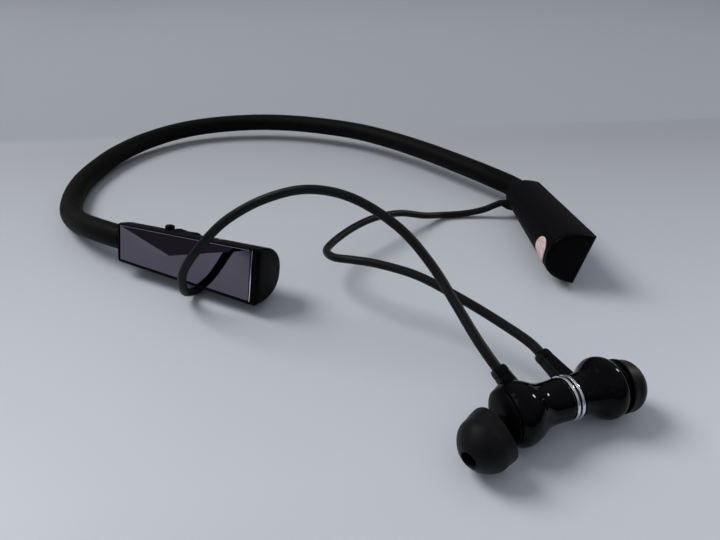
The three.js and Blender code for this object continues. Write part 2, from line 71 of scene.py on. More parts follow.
RING_R = 5.2
WAIST_R = 4.95
BULB_R = 7.3
BULB_X = {"left": 13.5, "right": 9.6}
BULB_SHIFT = 0.2
TIP_R = 6.4
TIP_DOME = {"left": 1.08, "right": 0.85}  # the right tip is pushed further on

scene = bpy.context.scene


# ---------- frames ----------
def basis(x_axis, y_axis, z_axis, start):
    """Local millimetres to row metres."""
    place = Matrix.Identity(4)
    for column, axis in enumerate((x_axis, y_axis, z_axis)):
        for row in range(3):
            place[row][column] = axis[row] * MM
    place.translation = (Vector(start) + CENTRING) * MM
    return place


def pod_frame(start, heading, lean, rise, flip):
    """x from the neck end to the free end, y from the flat face inwards, z across the face."""
    heading, lean, rise = (math.radians(a) for a in (heading, lean, rise))
    side = -1 if flip else 1
    level = Vector((-math.sin(heading), math.cos(heading), 0)) * side
    flat = math.cos(rise)
    forward = Vector((math.cos(heading) * flat, math.sin(heading) * flat, math.sin(rise)))
    up = forward.cross(level) * side
    inward = level * math.cos(lean) - up * math.sin(lean)
    return basis(forward, inward, forward.cross(inward), start)


def bud_frame(is_right):
    """x out from the magnet face to the tip, y back along the stem."""
    heading = math.radians(5)
    outward = Vector((math.cos(heading), math.sin(heading), 0))
    back = Vector((-outward.y, outward.x, 0))
    if not is_right:
        outward.negate()
    return basis(outward, back, outward.cross(back), (40.5, -105.5, 7.4))


POD = {
    "left": pod_frame((-62.9, -11.3, 10.95), -40, 18, 0.9, False),
    "right": pod_frame((89.2, -6, 6.15), -103, -14.7, 3.2, True),
}
BUD = {"left": bud_frame(False), "right": bud_frame(True)}
ARM = {"left": "arm_left", "right": "arm_right"}
WORLD = basis((1, 0, 0), (0, 1, 0), (0, 0, 1), (0, 0, 0))
DOWN = {"left": -1, "right": 1}  # which way local z runs towards the table


# ---------- camera ----------
camera_data = bpy.data.cameras.new("camera")
camera_data.lens = 27.25
camera_data.sensor_width = 36
camera_data.clip_start = 0.005
camera = bpy.data.objects.new("camera", camera_data)
camera.location = (-0.027245, -0.177515, 0.09802)
camera.rotation_euler = (math.radians(57.2), 0, math.radians(-15))
scene.collection.objects.link(camera)
scene.camera = camera
scene.view_settings.view_transform = "Standard"


# ---------- materials ----------
def noise(tree, coords, scale, detail=2.0, stretch=None):
    """Noise in row-frame metres, stretched along an axis if asked."""
    source = coords.outputs["Object"]
    if stretch:
        mapping = tree.nodes.new("ShaderNodeMapping")
        mapping.inputs["Scale"].default_value = stretch
        tree.links.new(source, mapping.inputs["Vector"])
        source = mapping.outputs["Vector"]
    node = tree.nodes.new("ShaderNodeTexNoise")
    node.inputs["Scale"].default_value = scale
    node.inputs["Detail"].default_value = detail
    tree.links.new(source, node.inputs["Vector"])
    return node


def remap(tree, source, low, high, out_low, out_high):
    """A value's range stretched on to another, clamped."""
    node = tree.nodes.new("ShaderNodeMapRange")
    for name, value in (("From Min", low), ("From Max", high), ("To Min", out_low), ("To Max", out_high)):
        node.inputs[name].default_value = value
    tree.links.new(source, node.inputs["Value"])
    return node.outputs["Result"]


def blend_colour(tree, factor, first, second):
    """Mixes two colours; each is a plain triple or another node's output."""
    node = tree.nodes.new("ShaderNodeMix")
    node.data_type = "RGBA"
    tree.links.new(factor, node.inputs["Factor"])
    for socket, value in ((node.inputs[6], first), (node.inputs[7], second)):
        if isinstance(value, bpy.types.NodeSocket):
            tree.links.new(value, socket)
        else:
            socket.default_value = (*value, 1)
    return node.outputs[2]


def bump(tree, height, distance):
    node = tree.nodes.new("ShaderNodeBump")
    node.inputs["Distance"].default_value = distance
    tree.links.new(height, node.inputs["Height"])
    return node.outputs["Normal"]


def material(name, low, high, rough, metal=0.0, coat=0.0, sheen=0.0, specular=0.5,
             mottle=700, grain=5000, grain_depth=0.00001, stretch=None, dust=0.0, edge=0.0):
    """A moulded, drawn or plated surface: mottled colour, uneven gloss, grain, dust, and sharp edges painted
    lighter, partly as worn edges and partly as a painted highlight.
    """
    made = bpy.data.materials.new(name)
    made.use_nodes = True
    tree = made.node_tree
    shader = tree.nodes["Principled BSDF"]
    shader.inputs["Metallic"].default_value = metal
    shader.inputs["Coat Weight"].default_value = coat
    shader.inputs["Coat Roughness"].default_value = 0.06
    shader.inputs["Sheen Weight"].default_value = sheen
    shader.inputs["Sheen Roughness"].default_value = 0.4
    shader.inputs["Specular IOR Level"].default_value = specular
    coords = tree.nodes.new("ShaderNodeTexCoord")
    clouds = noise(tree, coords, mottle, 4.0, stretch)
    colour = blend_colour(tree, remap(tree, clouds.outputs["Fac"], 0.35, 0.65, 0, 1), low, high)
    gloss = remap(tree, clouds.outputs["Fac"], 0.3, 0.7, rough[0], rough[1])
    # painted highlight and wear: sharp convex edges are painted lighter
    if edge > 0:
        geometry = tree.nodes.new("ShaderNodeNewGeometry")
        edge_wear_and_highlight = remap(tree, geometry.outputs["Pointiness"], 0.52, 0.6, 0, edge)
        colour = blend_colour(tree, edge_wear_and_highlight, colour, tuple(3 * c + 0.01 for c in high))
    if dust > 0:
        flecks = noise(tree, coords, 2600, 1.0)
        seen = remap(tree, flecks.outputs["Fac"], 0.7, 0.78, 0, dust)
        colour = blend_colour(tree, seen, colour, (0.16, 0.16, 0.17))
    tree.links.new(colour, shader.inputs["Base Color"])
    tree.links.new(gloss, shader.inputs["Roughness"])
    fine = noise(tree, coords, grain, 3.0, stretch)
    tree.links.new(bump(tree, fine.outputs["Fac"], grain_depth), shader.inputs["Normal"])
    return made


def woven(name, low, high, pitch):
    """Fine crossed wire mesh: two sets of waves that take turns on top, with painted shade darkening the
    gaps between them.
    """
    made = material(name, low, high, (0.3, 0.45), metal=0.9, grain=9000)
    tree = made.node_tree
    shader = tree.nodes["Principled BSDF"]
    coords = next(n for n in tree.nodes if n.bl_idname == "ShaderNodeTexCoord")
    heights = []
    for axis in ("X", "Z"):
        wave = tree.nodes.new("ShaderNodeTexWave")
        wave.bands_direction = axis
        wave.inputs["Scale"].default_value = 1 / pitch
        tree.links.new(coords.outputs["Object"], wave.inputs["Vector"])
        heights.append(wave.outputs["Fac"])
    top = tree.nodes.new("ShaderNodeMath")
    top.operation = "MAXIMUM"
    tree.links.new(heights[0], top.inputs[0])
    tree.links.new(heights[1], top.inputs[1])
    # painted shade: the gaps in the mesh are painted a tenth as bright as the darker colour
    wires_and_painted_gap_shade = blend_colour(tree, top.outputs[0], tuple(c * 0.1 for c in low), high)
    tree.links.new(wires_and_painted_gap_shade, shader.inputs["Base Color"])
    tree.links.new(bump(tree, top.outputs[0], 0.00008), shader.inputs["Normal"])
    return made


# edge sets how much lighter sharp edges are painted, as worn edges and a painted highlight
SURFACES = {
    "silicone": dict(low=(0.0026, 0.0026, 0.0028), high=(0.0048, 0.0046, 0.0045), rough=(0.5, 0.64),
                     sheen=0.008, specular=0.06, mottle=260, grain=4200, grain_depth=0.000014, dust=0.06),
    "soft_shell": dict(low=(0.0018, 0.0016, 0.003), high=(0.003, 0.0027, 0.0044), rough=(0.55, 0.68),
                       sheen=0.008, specular=0.06, mottle=420, grain=7000, grain_depth=0.000012, dust=0.06,
                       edge=0.15),
    "black_plastic": dict(low=(0.0008, 0.0008, 0.0012), high=(0.0014, 0.0014, 0.002), rough=(0.36, 0.46),
                          specular=0.05, mottle=500, grain=8000, grain_depth=0.000005, dust=0.04, edge=0.05),
    "mirror_plate": dict(low=(0.124, 0.108, 0.142), high=(0.139, 0.123, 0.158), rough=(0.03, 0.055),
                         metal=1.0, mottle=90, grain=600, grain_depth=0.0000015, dust=0.05),
    "chrome": dict(low=(0.78, 0.78, 0.8), high=(0.86, 0.86, 0.88), rough=(0.07, 0.14), metal=1.0,
                   mottle=1500, grain=9000, grain_depth=0.000002),
    "gloss_black": dict(low=(0.0006, 0.0006, 0.001), high=(0.0012, 0.0012, 0.0017), rough=(0.045, 0.075),
                        specular=0.1, mottle=300, grain=1200, grain_depth=0.000002, dust=0.12),
    "rubber": dict(low=(0.0035, 0.0035, 0.004), high=(0.0055, 0.0055, 0.006), rough=(0.55, 0.7), sheen=0.03,
                   specular=0.12, mottle=900, grain=6000, grain_depth=0.000015),
    "ear_rubber": dict(low=(0.0032, 0.0032, 0.0042), high=(0.005, 0.005, 0.0064), rough=(0.42, 0.54),
                       sheen=0.03, specular=0.14, mottle=380, grain=5200, grain_depth=0.00001, dust=0.1),
    "cord_jacket": dict(low=(0.0036, 0.0037, 0.0048), high=(0.006, 0.0061, 0.0076), rough=(0.4, 0.52),
                        sheen=0.02, specular=0.16, mottle=700, grain=5200, grain_depth=0.00001, dust=0.08),
    "plated_steel": dict(low=(0.36, 0.36, 0.38), high=(0.46, 0.46, 0.48), rough=(0.22, 0.34), metal=1.0,
                         mottle=900, grain=5000, grain_depth=0.000004, stretch=(1, 1, 12)),
    "foil": dict(low=(0.5, 0.51, 0.53), high=(0.62, 0.63, 0.65), rough=(0.28, 0.42), metal=0.9,
                 mottle=500, grain=2600, grain_depth=0.00002),
    "circuit_board": dict(low=(0.006, 0.06, 0.025), high=(0.012, 0.095, 0.04), rough=(0.35, 0.5), coat=0.3,
                          mottle=1600, grain=3000, grain_depth=0.000015),
    "light_pipe": dict(low=(0.5, 0.52, 0.55), high=(0.62, 0.64, 0.67), rough=(0.25, 0.35),
                       mottle=1200, grain=6000, grain_depth=0.000005),
    "paper": dict(low=(0.66, 0.4, 0.38), high=(0.82, 0.7, 0.68), rough=(0.55, 0.7),
                  mottle=650, grain=5200, grain_depth=0.00002),
    "spring_steel": dict(low=(0.4, 0.41, 0.42), high=(0.5, 0.5, 0.51), rough=(0.25, 0.35), metal=1.0,
                         mottle=600, grain=7000, grain_depth=0.000005, stretch=(8, 1, 8)),
    "wire_insulation": dict(low=(0.014, 0.014, 0.015), high=(0.022, 0.022, 0.023), rough=(0.4, 0.5),
                            mottle=500, grain=5000, grain_depth=0.000008),
}
MATERIALS = {name: material(name, **surface) for name, surface in SURFACES.items()}
MATERIALS["grille"] = woven("grille", (0.1, 0.1, 0.11), (0.2, 0.2, 0.21), 0.0022)


# ---------- mesh helpers ----------
def make(name, verts, faces):
    """A closed, cleaned mesh object. It stays in local millimetres until it is placed."""
    mesh = bpy.data.meshes.new(name)
    mesh.from_pydata([tuple(v) for v in verts], [], faces)
    made = bpy.data.objects.new(name, mesh)
    scene.collection.objects.link(made)
    clean(made)
    return made


def clean(obj, distance=1e-4):
    """Merges double points and turns all faces outwards."""
    shape = bmesh.new()
    shape.from_mesh(obj.data)
    bmesh.ops.remove_doubles(shape, verts=shape.verts, dist=distance)
    bmesh.ops.dissolve_degenerate(shape, dist=distance / 10, edges=shape.edges)
    bmesh.ops.recalc_face_normals(shape, faces=shape.faces)
    shape.to_mesh(obj.data)
    shape.free()


def shade(obj, angle=32):
    """Smooth shading that breaks at edges sharper than the angle."""
    obj.data.polygons.foreach_set("use_smooth", [True] * len(obj.data.polygons))
    obj.data.set_sharp_from_angle(angle=math.radians(angle))


def skin(rings, loop=False):
    """Faces over rings of equally many points, capped at both ends unless the rings close a loop."""
    count = len(rings[0])
    faces = []
    for i in range(len(rings) if loop else len(rings) - 1):
        a = i * count
        b = ((i + 1) % len(rings)) * count
        for j in range(count):
            k = (j + 1) % count
            faces.append((a + j, a + k, b + k, b + j))
    if not loop:
        faces.append(tuple(reversed(range(count))))
        faces.append(tuple(range((len(rings) - 1) * count, len(rings) * count)))
    return [p for ring in rings for p in ring], faces


def turned(name, profile, sides=64):
    """A closed profile of (x, r) turned round the local x axis."""
    rings = []
    for i in range(sides):
        turn = 2 * math.pi * i / sides
        rings.append([Vector((x, r * math.cos(turn), r * math.sin(turn))) for x, r in profile])
    return make(name, *skin(rings, loop=True))


def smooth(points, per=6):
    """Points on a smooth line through the given ones, of any dimension."""
    points = [Vector(p) for p in points]
    line = []
    for i in range(len(points) - 1):
        before = points[i - 1] if i else 2 * points[0] - points[1]
        after = points[i + 2] if i + 2 < len(points) else 2 * points[-1] - points[-2]
        for step in range(per):
            line.append(spline(before, points[i], points[i + 1], after, step / per))
    return line + [points[-1]]


def spline(p0, p1, p2, p3, t):
    """Centripetal Catmull-Rom between p1 and p2."""
    d1 = max((p2 - p1).length ** 0.5, 1e-4)
    d0 = (p1 - p0).length ** 0.5 or d1
    d2 = (p3 - p2).length ** 0.5 or d1
    t1 = ((p1 - p0) / d0 - (p2 - p0) / (d0 + d1) + (p2 - p1) / d1) * d1
    t2 = ((p2 - p1) / d1 - (p3 - p1) / (d1 + d2) + (p3 - p2) / d2) * d1
    c2 = -3 * p1 + 3 * p2 - 2 * t1 - t2
    c3 = 2 * p1 - 2 * p2 + t1 + t2
    return p1 + t1 * t + c2 * t * t + c3 * t ** 3


def line_length(points):
    return sum((b - a).length for a, b in zip(points, points[1:]))


def even(points, steps):
    """The same line cut into equal steps."""
    total = line_length(points)
    result = [points[0].copy()]
    walked, index = 0.0, 0
    for step in range(1, steps):
        target = total * step / steps
        while walked + (points[index + 1] - points[index]).length < target:
            walked += (points[index + 1] - points[index]).length
            index += 1
        share = (target - walked) / (points[index + 1] - points[index]).length
        result.append(points[index].lerp(points[index + 1], share))
    return result + [points[-1].copy()]


def tube(name, points, radius, sides, bore=0.0):
    """A round section swept along a line without twist, hollow if a bore is given."""
    tangents = []
    for i in range(len(points)):
        tangents.append((points[min(i + 1, len(points) - 1)] - points[max(i - 1, 0)]).normalized())
    side = tangents[0].cross(Vector((0, 0, 1))).normalized()
    outer, inner = [], []
    for point, tangent in zip(points, tangents):
        side = (side - tangent * side.dot(tangent)).normalized()
        other = tangent.cross(side)
        turns = [2 * math.pi * i / sides for i in range(sides)]
        rays = [side * math.cos(t) + other * math.sin(t) for t in turns]
        outer.append([point + ray * radius for ray in rays])
        inner.append([point + ray * bore for ray in rays])
    if bore <= 0:
        return make(name, *skin(outer))
    verts = [p for ring in outer + inner for p in ring]
    shift = len(outer) * sides
    last = shift - sides
    faces = []
    for i in range(len(outer) - 1):
        for j in range(sides):
            k = (j + 1) % sides
            a, b = i * sides, (i + 1) * sides
            faces.append((a + j, a + k, b + k, b + j))
            faces.append((shift + b + j, shift + b + k, shift + a + k, shift + a + j))
    for j in range(sides):
        k = (j + 1) % sides
        faces.append((j, shift + j, shift + k, k))
        faces.append((last + k, shift + last + k, shift + last + j, last + j))
    return make(name, verts, faces)


def block(name, corners):
    """A solid with flat faces round a set of corner points."""
    shape = bmesh.new()
    for corner in corners:
        shape.verts.new(corner)
    result = bmesh.ops.convex_hull(shape, input=shape.verts)
    loose = [e for e in result["geom_interior"] + result["geom_unused"] if isinstance(e, bmesh.types.BMVert)]
    bmesh.ops.delete(shape, geom=loose, context="VERTS")
    bmesh.ops.dissolve_limit(shape, angle_limit=math.radians(0.5), verts=shape.verts, edges=shape.edges)
    mesh = bpy.data.meshes.new(name)
    shape.to_mesh(mesh)
    shape.free()
    made = bpy.data.objects.new(name, mesh)
    scene.collection.objects.link(made)
    return made


def brick(name, x0, x1, y0, y1, z0, z1):
    return block(name, [(x, y, z) for x in (x0, x1) for y in (y0, y1) for z in (z0, z1)])


def bevel(obj, width, segments=3, chosen=None):
    """Rounds the edges of a local-millimetre shape; chosen picks edges by their two end points."""
    shape = bmesh.new()
    shape.from_mesh(obj.data)
    edges = [e for e in shape.edges if chosen is None or chosen(e.verts[0].co, e.verts[1].co)]
    bmesh.ops.bevel(shape, geom=edges, offset=width, segments=segments, profile=0.5, affect="EDGES",
                    clamp_overlap=True)
    shape.to_mesh(obj.data)
    shape.free()
    return obj


def carve(obj, *tools):
    """Cuts the tools out of obj, in local millimetres, and removes them."""
    for tool in tools:
        modifier = obj.modifiers.new("cut", "BOOLEAN")
        modifier.operation = "DIFFERENCE"
        modifier.solver = "EXACT"
        modifier.object = tool
    bpy.context.view_layer.update()
    result = bpy.data.meshes.new_from_object(obj.evaluated_get(bpy.context.evaluated_depsgraph_get()))
    obj.modifiers.clear()
    obj.data = result
    for tool in tools:
        bpy.data.objects.remove(tool)
    clean(obj, 1e-3)


def place(obj, matrix, slot, body, *nodes, angle=32):
    """Puts a finished local shape in the row frame, shades it, gives it its material, hides the CAD parts
    that it replaces and hangs it on its body, if it has one.
    """
    obj.data.transform(matrix)
    shade(obj, angle)
    obj.data.materials.clear()
    obj.data.materials.append(MATERIALS[slot])
    if nodes:
        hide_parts(*nodes)
    if body:
        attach(obj, body)


# ---------- pod sections ----------
CORNER_R, CORNER_STEPS, CROWN_STEPS = 0.45, 4, 44


def pod_width(x):
    return POD_WIDTH[0] + (POD_WIDTH[1] - POD_WIDTH[0]) * x / POD_LENGTH


def pod_depth(x):
    return POD_DEPTH[0] + (POD_DEPTH[1] - POD_DEPTH[0]) * x / POD_LENGTH


def crown_at(x, z):
    """Depth of the crown at a height across the pod."""
    power = 2 / SQUARENESS
    share = abs(z) / (pod_width(x) / 2)
    return pod_depth(x) * (1 - share ** power) ** (1 / power)


def d_ring(x, inset, front):
    """The D section at x: flat side at y = front, rounded corners and a superellipse crown."""
    half = pod_width(x) / 2 - inset
    depth = pod_depth(x) - inset - front
    ring = []
    for i in range(CORNER_STEPS + 1):
        turn = math.pi / 2 * i / CORNER_STEPS
        y = CORNER_R - CORNER_R * math.cos(turn)
        ring.append(Vector((x, front + y, -(half - CORNER_R) - CORNER_R * math.sin(turn))))
    limit = math.radians(87.5)  # the crown stops short of the corners, which would be doubled
    for i in range(CROWN_STEPS + 1):
        turn = -limit + 2 * limit * i / CROWN_STEPS
        out = math.cos(turn) ** SQUARENESS
        up = math.copysign(abs(math.sin(turn)) ** SQUARENESS, turn)
        ring.append(Vector((x, front + depth * out, half * up)))
    ring += [Vector((x, p.y, -p.z)) for p in reversed(ring[:CORNER_STEPS + 1])]
    return ring


def pod_loft(name, stations):
    """stations are (x, inset, front)."""
    return make(name, *skin([d_ring(*station) for station in stations]))


def face_corners(xs, margin, y0, y1):
    """Corners of a slab on the flat side that tapers with the pod."""
    corners = []
    for x in xs:
        half = pod_width(x) / 2 - margin
        corners += [(x, y, side * half) for y in (y0, y1) for side in (-1, 1)]
    return corners


def rod(name, x0, x1, radius, sides=32):
    return turned(name, [(x0, 0), (x0, radius), (x1, radius), (x1, 0)], sides)


# ---------- cords ----------
def at(side, x, y, z):
    """A pod's local point in the model's own millimetres."""
    return (POD[side] @ Vector((x, y, z))) / MM - CENTRING


def gland_mouth(side, reach):
    return at(side, GLAND_X, crown_at(GLAND_X, GLAND_Z) + reach, DOWN[side] * GLAND_Z)


STEM = {
    "left": {"x": 10.2, "length": 11.0, "lean": -15, "lift": -29},
    "right": {"x": 3.6, "length": 12.7, "lean": 12, "lift": 14},
}


def stem_matrix(side):
    spec = STEM[side]
    lift = Matrix.Rotation(math.radians(spec["lift"]), 4, "X")
    lean = Matrix.Rotation(math.radians(spec["lean"]), 4, "Z")
    return Matrix.Translation((spec["x"], 0, 0)) @ lift @ lean


def stem_end(side, beyond):
    point = stem_matrix(side) @ Vector((0, STEM[side]["length"] + beyond, 0))
    return (BUD[side] @ point) / MM - CENTRING


LEFT_CORD_ROUTE = [
    (-46.6, 0.6, 1.9), (-42.4, 1.2, 1.35), (-38.6, -1.6, 1.3), (-36.2, -7, 1.3), (-35.1, -13.5, 1.3),
    (-35.2, -20.5, 1.3), (-36.6, -26, 1.3), (-39.6, -30.8, 1.35), (-42.6, -34.4, 3.2), (-43.1, -37.6, 7),
    (-42.7, -39.6, 11.4), (-41, -40.9, 15.8), (-35.6, -42.8, 23.2), (-28.3, -43.8, 30.2), (-17.9, -45.6, 36),
    (-6.8, -48.7, 39), (3.6, -53.9, 37.9), (14.1, -62.9, 32.2), (19.8, -71.5, 25.7), (22.6, -81.6, 20.2),
    (24.3, -90.4, 16.3),
]
RIGHT_CORD_ROUTE = [
    (72.6, -7, 4.7), (69.3, -6.3, 3.2), (64.6, -5.3, 2), (59.7, -4.4, 1.45), (52.2, -3.9, 1.7),
    (44.4, -6.1, 3.6), (34.2, -8.7, 7.2), (26.6, -11.9, 8.9), (19.6, -15.6, 9.8), (11.7, -20.6, 9.8),
    (4.6, -26.9, 9.6), (0.9, -33.4, 10.6), (1.5, -40.9, 12.5), (6.1, -47.7, 14.8), (11.2, -52.3, 15.6),
    (20.3, -61, 15.6), (28.2, -71.7, 14.2), (35.4, -82.6, 12.3),
]


def cord(side, route):
    """One free cord from its pod's gland to its earbud's stem, a little way into both."""
    ends = [gland_mouth(side, GLAND_LENGTH - 1), gland_mouth(side, GLAND_LENGTH + 0.5)]
    points = ends + [Vector(p) for p in route] + [stem_end(side, 3), stem_end(side, -1)]
    line = even(smooth(points, 24), 260)
    piece = tube(f"{side}_cord_jacket", line, CORD_R, 20)
    place(piece, WORLD, "cord_jacket", None, f"{side}_cord")
    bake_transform(piece)


cord("left", LEFT_CORD_ROUTE)
cord("right", RIGHT_CORD_ROUTE)


# ---------- neckband ----------
BAND_ROUTE = [
    (-73, 5.6, 8.6), (-79.7, 16.6, 6.3), (-84, 27.5, 4.8), (-86, 39, 4.05), (-86.1, 50, 4.05),
    (-84.5, 62, 4.05), (-80.6, 74, 4.3), (-74, 87, 4.9), (-63, 100, 5.6), (-47, 110, 6.4),
    (-30, 113.2, 7.1), (-9, 110.6, 7.8), (8, 104.5, 8.1), (25, 94, 8.3), (41, 80, 8.5),
    (53, 63.5, 8.7), (63.5, 45, 8.8), (72, 27, 8.8), (78.6, 12, 8.7),
]


def band_line(end_x, lift):
    raised = [Vector((x, y, z + lift)) for x, y, z in BAND_ROUTE]
    left = [at("left", end_x, BAND_INSET, lift), at("left", -5, BAND_INSET, lift)]
    right = [at("right", -5, BAND_INSET, -lift), at("right", end_x, BAND_INSET, -lift)]
    return smooth(left + raised + right, 16)


def band_halves(name, slot, node, end_x, lift, radius, sides, bore=0.0):
    """A run of the neckband in two halves that meet at the back."""
    line = even(band_line(end_x, lift), 320)
    middle = len(line) // 2
    for side, half in (("left", line[:middle + 1]), ("right", line[middle:][::-1])):
        piece = tube(f"{name}_{side}", half, radius, sides, bore)
        place(piece, WORLD, slot, None, node)
        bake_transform(piece)


band_halves("band_sleeve", "silicone", "neckband_sleeve", -0.05, 0, BAND_R, 40, BAND_BORE)
band_halves("band_spring", "spring_steel", "spring_wire", 5.5, CORE_OFFSET, WIRE_R, 12)
band_halves("band_harness", "wire_insulation", "neckband_harness", 5.5, -CORE_OFFSET, HARNESS_R, 12)


# ---------- pods ----------
def towards_cord(side, start):
    """Turns a shape made along +x to point out of the crown where the cord leaves."""
    return Matrix.Translation((GLAND_X, start, DOWN[side] * GLAND_Z)) @ Matrix.Rotation(math.pi / 2, 4, "Z")


def upwards(x, start):
    """Turns a shape made along +x to point out of the pod's edge that carries the keys."""
    return Matrix.Translation((x, BUTTON["y"], start)) @ Matrix.Rotation(-math.pi / 2, 4, "Y")


def neck_rounding(inset, front, span, steps=6):
    """Stations that round the pod's neck end."""
    stations = []
    for i in range(steps + 1):
        turn = math.pi / 2 * i / steps
        rest = 1 - math.sin(turn)
        stations.append((span * (1 - math.cos(turn)), inset * rest, front * rest))
    return stations


BUTTON = {"x0": 16.0, "x1": 18.6, "y": 4.6, "width": 2.6, "proud": 1.2}
ROCKER = {"x0": 19.6, "x1": 28.6, "y": 4.6, "width": 2.4, "proud": 0.35}
KEY_DEPTH = 2.2  # how far a key reaches into the pod
LIGHT_X, MIC_X = 37, 41
PORT_X, PORT_WIDTH, PORT_HEIGHT, PORT_DEPTH = 42.0, 9.0, 3.2, 7.0


def key_window(spec):
    half = spec["width"] / 2 + GAP
    tool = brick("key_window", spec["x0"] - GAP, spec["x1"] + GAP, spec["y"] - half, spec["y"] + half, 2, 12)
    return bevel(tool, 0.5, 3, lambda a, b: abs(a.z - b.z) > 1)


def edge_hole(name, x, radius):
    """The tool for a hole through the pod's upper edge."""
    tool = rod(name, 0, 8, radius, 24)
    tool.data.transform(upwards(x, 2))
    return tool


def slot_block(name, grow, y0, y1):
    """A rounded oblong along y, for the charging port."""
    half_x = PORT_WIDTH / 2 + grow
    half_z = PORT_HEIGHT / 2 + grow
    tool = brick(name, PORT_X - half_x, PORT_X + half_x, y0, y1, -half_z, half_z)
    return bevel(tool, half_z * 0.92, 6, lambda a, b: abs(a.y - b.y) > 1)


def pod_shell(side):
    long_run = [(x, 0, 0) for x in (6, 12, 20, 28, 36, 44, 50)]
    end = [(SHELL_LENGTH - 0.35, 0, 0), (SHELL_LENGTH - 0.12, 0.05, 0.03), (SHELL_LENGTH, 0.2, 0.12)]
    outside = pod_loft(f"{side}_shell_body", neck_rounding(0.9, 0.35, 1.3) + long_run + end)
    cavity = pod_loft("cavity", [(1.8, WALL + 1, RECESS + WALL), (3.4, WALL, RECESS + WALL),
                                 (SHELL_LENGTH + 1, WALL, RECESS + WALL)])
    seat = block("seat", face_corners((0.5, SHELL_LENGTH + 1), PLATE_MARGIN, -1, RECESS))
    neck = rod("neck", -1, 4, BAND_BORE)
    neck.data.transform(Matrix.Translation((0, BAND_INSET, 0)))
    cord_hole = rod("cord_hole", 0, 9, GLAND_R + 0.1)
    cord_hole.data.transform(towards_cord(side, 5))
    tools = [cavity, seat, neck, cord_hole]
    if side == "left":
        port_y = pod_depth(PORT_X)
        tools += [key_window(BUTTON), key_window(ROCKER)]
        tools += [slot_block("mouth", GAP, port_y - PORT_DEPTH, port_y + 3)]
        tools += [edge_hole("light_hole", LIGHT_X, 0.75), edge_hole("mic_hole", MIC_X, 0.5)]
    carve(outside, *tools)
    place(outside, POD[side], "soft_shell", ARM[side], f"{side}_pod_shell", angle=30)


PLATE_PLAY = 0.15  # between the plate and the edge of its seat


def face_plate(side):
    """Mirror plate with its peak near the neck end: two flat facets, and one that twists lengthways."""
    x0, x1 = 0.8, SHELL_LENGTH - 1.2
    margin = PLATE_MARGIN + PLATE_PLAY
    edge_y, back = 0.35, RECESS - GAP
    up = -DOWN[side]
    half0, half1 = pod_width(x0) / 2 - margin, pod_width(x1) / 2 - margin
    top0, top1 = Vector((x0, edge_y, up * half0)), Vector((x1, edge_y, up * half1))
    low0, low1 = Vector((x0, edge_y, -up * half0)), Vector((x1, edge_y, -up * half1))
    peak = Vector((21.5, -0.15, 0))
    across, down = 30, 8  # facets in the twisted face
    verts = [top0, top1]
    grid = {}
    for i in range(across + 1):
        u = i / across
        upper = peak.lerp(top1, u)
        lower = low0.lerp(low1, u)
        for j in range(down + 1):
            grid[i, j] = len(verts)
            verts.append(upper.lerp(lower, j / down))
    grid_faces = []
    for i in range(across):
        for j in range(down):
            grid_faces.append((grid[i, j], grid[i + 1, j], grid[i + 1, j + 1], grid[i, j + 1]))
    ridge = [grid[i, 0] for i in range(across, -1, -1)]
    left_edge = [grid[0, j] for j in range(down + 1)]
    faces = grid_faces + [tuple([0] + ridge), tuple([0] + left_edge)]
    rim = [0, grid[across, 0]] + [grid[across, j] for j in range(1, down + 1)]
    rim += [grid[i, down] for i in range(across - 1, -1, -1)]
    backs = []
    for index in rim:
        backs.append(len(verts))
        verts.append(Vector((verts[index].x, back, verts[index].z)))
    for i in range(len(rim)):
        k = (i + 1) % len(rim)
        faces.append((rim[i], rim[k], backs[k], backs[i]))
    faces.append(tuple(backs))
    plate = make(f"{side}_mirror_plate", verts, faces)
    bevel(plate, 0.18, 2, lambda a, b: max(abs(a.y - edge_y), abs(b.y - edge_y)) < 1e-4)
    place(plate, POD[side], "mirror_plate", ARM[side], f"{side}_face_plate", angle=2)


def end_cap(side):
    """The free end's cap: a small step at the seam, a rounded rim and a slightly raised face."""
    seam = SHELL_LENGTH + GAP
    stations = [(seam - 0.15, 0.25, 0.15), (seam - 0.05, 0.07, 0.04), (seam + 0.15, 0, 0),
                (SHELL_LENGTH + 1.0, 0, 0)]
    radius, steps = 1.25, 7
    for i in range(1, steps + 1):
        turn = math.pi / 2 * i / steps
        x = POD_LENGTH - 0.1 - radius + radius * math.sin(turn)
        inset = radius * (1 - math.cos(turn))
        stations.append((x, inset, inset))
    stations.append((POD_LENGTH - 0.04, 2.1, 1.9))
    cap = pod_loft(f"{side}_cap", stations)
    place(cap, POD[side], "black_plastic", ARM[side], f"{side}_end_cap", angle=30)


